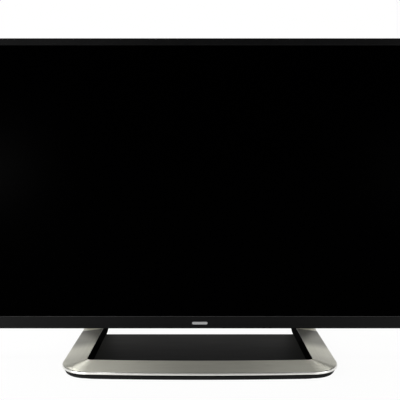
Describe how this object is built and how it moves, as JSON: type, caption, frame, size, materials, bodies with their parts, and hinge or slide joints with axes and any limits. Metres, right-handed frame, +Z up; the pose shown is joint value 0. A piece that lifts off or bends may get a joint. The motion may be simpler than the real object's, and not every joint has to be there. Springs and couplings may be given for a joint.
{
  "type": "flat screen television",
  "caption": "Slim flat screen television with a thin black border, on a U-shaped brushed metal base whose two arms curl up behind the cabinet.",
  "frame": {"origin": "on the table, under the middle of the overall width and depth", "axes": "+Z up, +X to the right of a viewer who faces the screen, and the screen faces -Y"},
  "size_m": [0.96, 0.294, 0.626],
  "materials": {
    "bezel_black": "satin black",
    "cover_black": "fine grained black",
    "screen_glass": "anti-glare, dark when off",
    "frame_plastic": "moulded",
    "film": "thin sheet",
    "acrylic": "clear, etched",
    "heatsink_metal": "extruded",
    "tray_steel": "zinc coated",
    "circuit_board": "solder mask",
    "socket_metal": "tin plated",
    "jack_brass": "plated",
    "cable": "insulated wire",
    "lens": "smoked silver",
    "screw_steel": "plated",
    "screw_black": "blackened",
    "key_black": "satin",
    "key_red": "satin",
    "trim_metal": "brushed",
    "stand_black": "black gloss",
    "plate_gloss": "dark, polished",
    "pad_rubber": "soft"
  },
  "bodies": {
    "television": {"front_bezel": "bezel_black", "rear_cover": "cover_black", "lcd_cell": "screen_glass", "mid_frame": "frame_plastic", "optical_films": "film", "light_guide": "acrylic", "reflector_sheet": "film", "led_bar": "heatsink_metal", "panel_chassis": "tray_steel", "vesa_posts": "tray_steel", "stand_bracket": "tray_steel", "main_board": "circuit_board", "main_chips": "frame_plastic", "main_heatsink": "heatsink_metal", "hdmi_sockets": "socket_metal", "usb_sockets": "socket_metal", "lan_socket": "socket_metal", "av_jacks": "jack_brass", "antenna_socket": "socket_metal", "power_board": "circuit_board", "power_parts": "frame_plastic", "ac_inlet": "frame_plastic", "tcon_board": "circuit_board", "source_boards": "circuit_board", "panel_cables": "film", "signal_cable": "film", "power_harness": "cable", "wifi_module": "circuit_board", "speaker_left": "frame_plastic", "speaker_right": "frame_plastic", "driver_left": "frame_plastic", "driver_right": "frame_plastic", "sensor_board": "circuit_board", "status_lens": "lens", "key_board": "circuit_board", "board_screws": "screw_steel", "cover_screws": "screw_black", "stand_trim": "trim_metal", "stand_frame": "stand_black", "leg_left": "stand_black", "leg_right": "stand_black", "base_plate": "plate_gloss", "base_foot": "frame_plastic", "rubber_feet": "pad_rubber", "base_screws": "screw_black", "stand_screws": "screw_black"},
    "power_key": {"key_power": "key_red"},
    "input_key": {"key_input": "key_black"},
    "menu_key": {"key_menu": "key_black"},
    "ok_key": {"key_ok": "key_black"},
    "volume_up_key": {"key_volume_up": "key_black"},
    "volume_down_key": {"key_volume_down": "key_black"},
    "channel_up_key": {"key_channel_up": "key_black"},
    "channel_down_key": {"key_channel_down": "key_black"}
  },
  "joints": [
    {"name": "power_press", "type": "slide", "parent": "television", "child": "power_key", "axis": [0, -1, 0], "range_m": [0, 0.0007], "stiffness_N_per_m": 1500},
    {"name": "input_press", "type": "slide", "parent": "television", "child": "input_key", "axis": [0, -1, 0], "range_m": [0, 0.0007], "stiffness_N_per_m": 1500},
    {"name": "menu_press", "type": "slide", "parent": "television", "child": "menu_key", "axis": [0, -1, 0], "range_m": [0, 0.0007], "stiffness_N_per_m": 1500},
    {"name": "ok_press", "type": "slide", "parent": "television", "child": "ok_key", "axis": [0, -1, 0], "range_m": [0, 0.0007], "stiffness_N_per_m": 1500},
    {"name": "volume_up_press", "type": "slide", "parent": "television", "child": "volume_up_key", "axis": [0, -1, 0], "range_m": [0, 0.0007], "stiffness_N_per_m": 1500},
    {"name": "volume_down_press", "type": "slide", "parent": "television", "child": "volume_down_key", "axis": [0, -1, 0], "range_m": [0, 0.0007], "stiffness_N_per_m": 1500},
    {"name": "channel_up_press", "type": "slide", "parent": "television", "child": "channel_up_key", "axis": [0, -1, 0], "range_m": [0, 0.0007], "stiffness_N_per_m": 1500},
    {"name": "channel_down_press", "type": "slide", "parent": "television", "child": "channel_down_key", "axis": [0, -1, 0], "range_m": [0, 0.0007], "stiffness_N_per_m": 1500}
  ]
}
